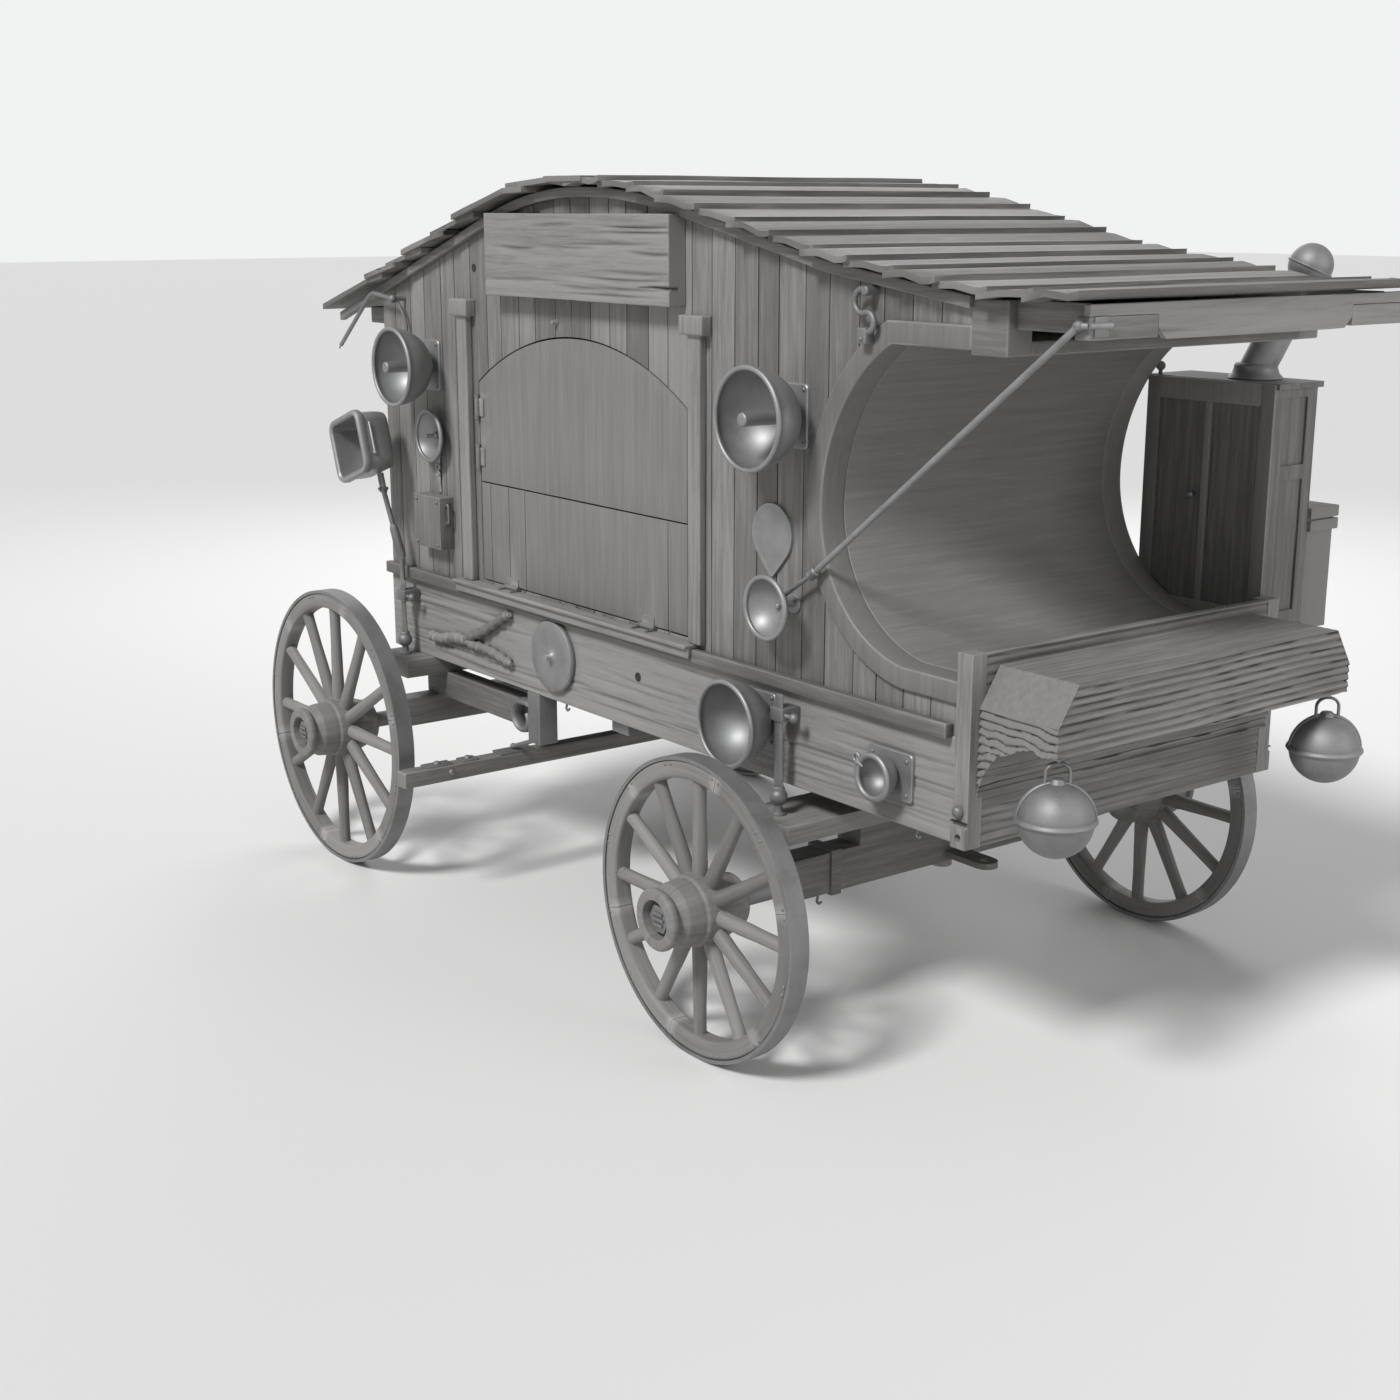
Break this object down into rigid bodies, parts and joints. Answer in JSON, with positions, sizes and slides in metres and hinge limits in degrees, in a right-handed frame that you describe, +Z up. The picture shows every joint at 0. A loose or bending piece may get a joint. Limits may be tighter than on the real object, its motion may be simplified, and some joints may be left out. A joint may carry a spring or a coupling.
{
  "type": "horse-drawn wooden merchant wagon",
  "caption": "Wooden living and trading wagon with spoked wheels, lapped arched roof, open barrel-backed driver's cab, side serving hatch, rear door and hung pots, bowls and lamps.",
  "frame": {"origin": "on the ground under the middle of the overall box", "axes": "+X to the driver's end, +Y to the left-hand side, +Z up"},
  "size_m": [4.04, 2.34, 2.603],
  "materials": {
    "grey_wood": "weathered, bare, silver-grey grain",
    "dark_wood": "weathered, bare, darker grain",
    "wheel_wood": "worn turned and shaved wood",
    "iron": "dull forged iron",
    "tyre_iron": "road-worn iron",
    "tin": "dull beaten sheet metal"
  },
  "bodies": {
    "wagon_body": {"floor": "dark_wood", "sill_boards": "grey_wood", "wall_right": "grey_wood", "wall_left": "grey_wood", "wall_rear": "grey_wood", "sill_rails": "dark_wood", "cab_frames": "grey_wood", "cab_barrel": "grey_wood", "front_posts": "grey_wood", "front_board": "grey_wood", "foot_block": "grey_wood", "header_blocks": "grey_wood", "lintel": "grey_wood", "canopy_ends": "grey_wood", "canopy_fascia": "grey_wood", "canopy_brackets": "grey_wood", "canopy_strut": "iron", "roof_boards": "dark_wood", "roof_stringers": "grey_wood", "rear_corbels": "grey_wood", "hatch_posts": "grey_wood", "counter_rail": "grey_wood", "hinge_pins": "iron", "sign_board": "grey_wood", "lamp_front": "tin", "lamp_rear": "tin", "dish_lamp": "tin", "wall_box": "grey_wood", "drop_plate": "tin", "small_bowl": "tin", "big_bowl": "tin", "mug": "tin", "disc_lid": "tin", "branch": "grey_wood", "lantern": "tin", "stays": "iron", "roof_hook": "iron", "rear_rod": "iron", "cabinet": "dark_wood", "chest": "grey_wood", "stove_pipe": "iron", "pots": "iron", "reach_pole": "dark_wood", "rear_axle": "dark_wood", "rear_beams": "dark_wood", "bolsters": "grey_wood", "brake_beam": "grey_wood", "brake_hangers": "iron"},
    "steered_axle": {"front_axle": "dark_wood"},
    "front_right_wheel": {"wheel_front_right": "wheel_wood", "tyre_front_right": "tyre_iron"},
    "front_left_wheel": {"wheel_front_left": "wheel_wood", "tyre_front_left": "tyre_iron"},
    "rear_right_wheel": {"wheel_rear_right": "wheel_wood", "tyre_rear_right": "tyre_iron"},
    "rear_left_wheel": {"wheel_rear_left": "wheel_wood", "tyre_rear_left": "tyre_iron"},
    "lower_leaf": {"hatch_lower": "dark_wood"},
    "upper_leaf": {"hatch_upper": "dark_wood"},
    "back_door": {"rear_door": "dark_wood"}
  },
  "joints": [
    {"name": "steering", "type": "hinge", "parent": "wagon_body", "child": "steered_axle", "pos_m": [0.887, 0, 0.6], "axis": [0, 0, 1], "range_deg": [-20, 20]},
    {"name": "front_right_spin", "type": "hinge", "parent": "steered_axle", "child": "front_right_wheel", "pos_m": [0.887, -1, 0.468], "axis": [0, 1, 0], "continuous": true},
    {"name": "front_left_spin", "type": "hinge", "parent": "steered_axle", "child": "front_left_wheel", "pos_m": [0.887, 1, 0.468], "axis": [0, 1, 0], "continuous": true},
    {"name": "rear_right_spin", "type": "hinge", "parent": "wagon_body", "child": "rear_right_wheel", "pos_m": [-1.447, -1, 0.5365], "axis": [0, 1, 0], "continuous": true},
    {"name": "rear_left_spin", "type": "hinge", "parent": "wagon_body", "child": "rear_left_wheel", "pos_m": [-1.447, 1, 0.5365], "axis": [0, 1, 0], "continuous": true},
    {"name": "lower_leaf_drop", "type": "hinge", "parent": "wagon_body", "child": "lower_leaf", "pos_m": [-0.296, -0.6443, 1.1563], "axis": [1, 0, 0], "range_deg": [0, 90]},
    {"name": "upper_leaf_swing", "type": "hinge", "parent": "wagon_body", "child": "upper_leaf", "pos_m": [-0.9325, -0.6443, 1.7], "axis": [0, 0, -1], "range_deg": [0, 100]},
    {"name": "back_door_swing", "type": "hinge", "parent": "wagon_body", "child": "back_door", "pos_m": [-1.6493, 0.313, 1.4], "axis": [0, 0, -1], "range_deg": [0, 100]}
  ]
}
